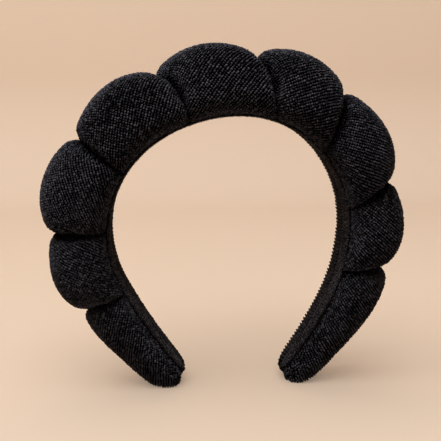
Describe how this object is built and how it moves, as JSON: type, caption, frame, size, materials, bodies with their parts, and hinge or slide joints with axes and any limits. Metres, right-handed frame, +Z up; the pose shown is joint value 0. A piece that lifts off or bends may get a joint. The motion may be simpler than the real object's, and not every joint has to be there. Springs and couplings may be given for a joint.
{
  "type": "makeup headband",
  "caption": "Padded bubble headband in black terry cloth: a gathered open band that holds the hair off the face and stands on its two tapered tips.",
  "frame": {"origin": "on the surface the tips stand on, under the middle of the whole band", "axes": "+X from the left tip to the right tip as seen from the front, +Y from the front edge to the rear edge, +Z up to the crown"},
  "size_m": [0.1978, 0.0508, 0.1884],
  "materials": {
    "terry_cloth": "black looped terry cloth, matt, with a faint soft sheen on the pile",
    "facing_cloth": "black brushed jersey, matt and finely fuzzy"
  },
  "bodies": {
    "root": {"left_end": "terry_cloth", "left_lower_puff": "terry_cloth", "left_side_puff": "terry_cloth", "left_upper_puff": "terry_cloth", "crown_puff": "terry_cloth", "right_upper_puff": "terry_cloth", "right_side_puff": "terry_cloth", "right_lower_puff": "terry_cloth", "right_end": "terry_cloth", "front_facing": "facing_cloth", "rear_facing": "facing_cloth"}
  },
  "joints": []
}
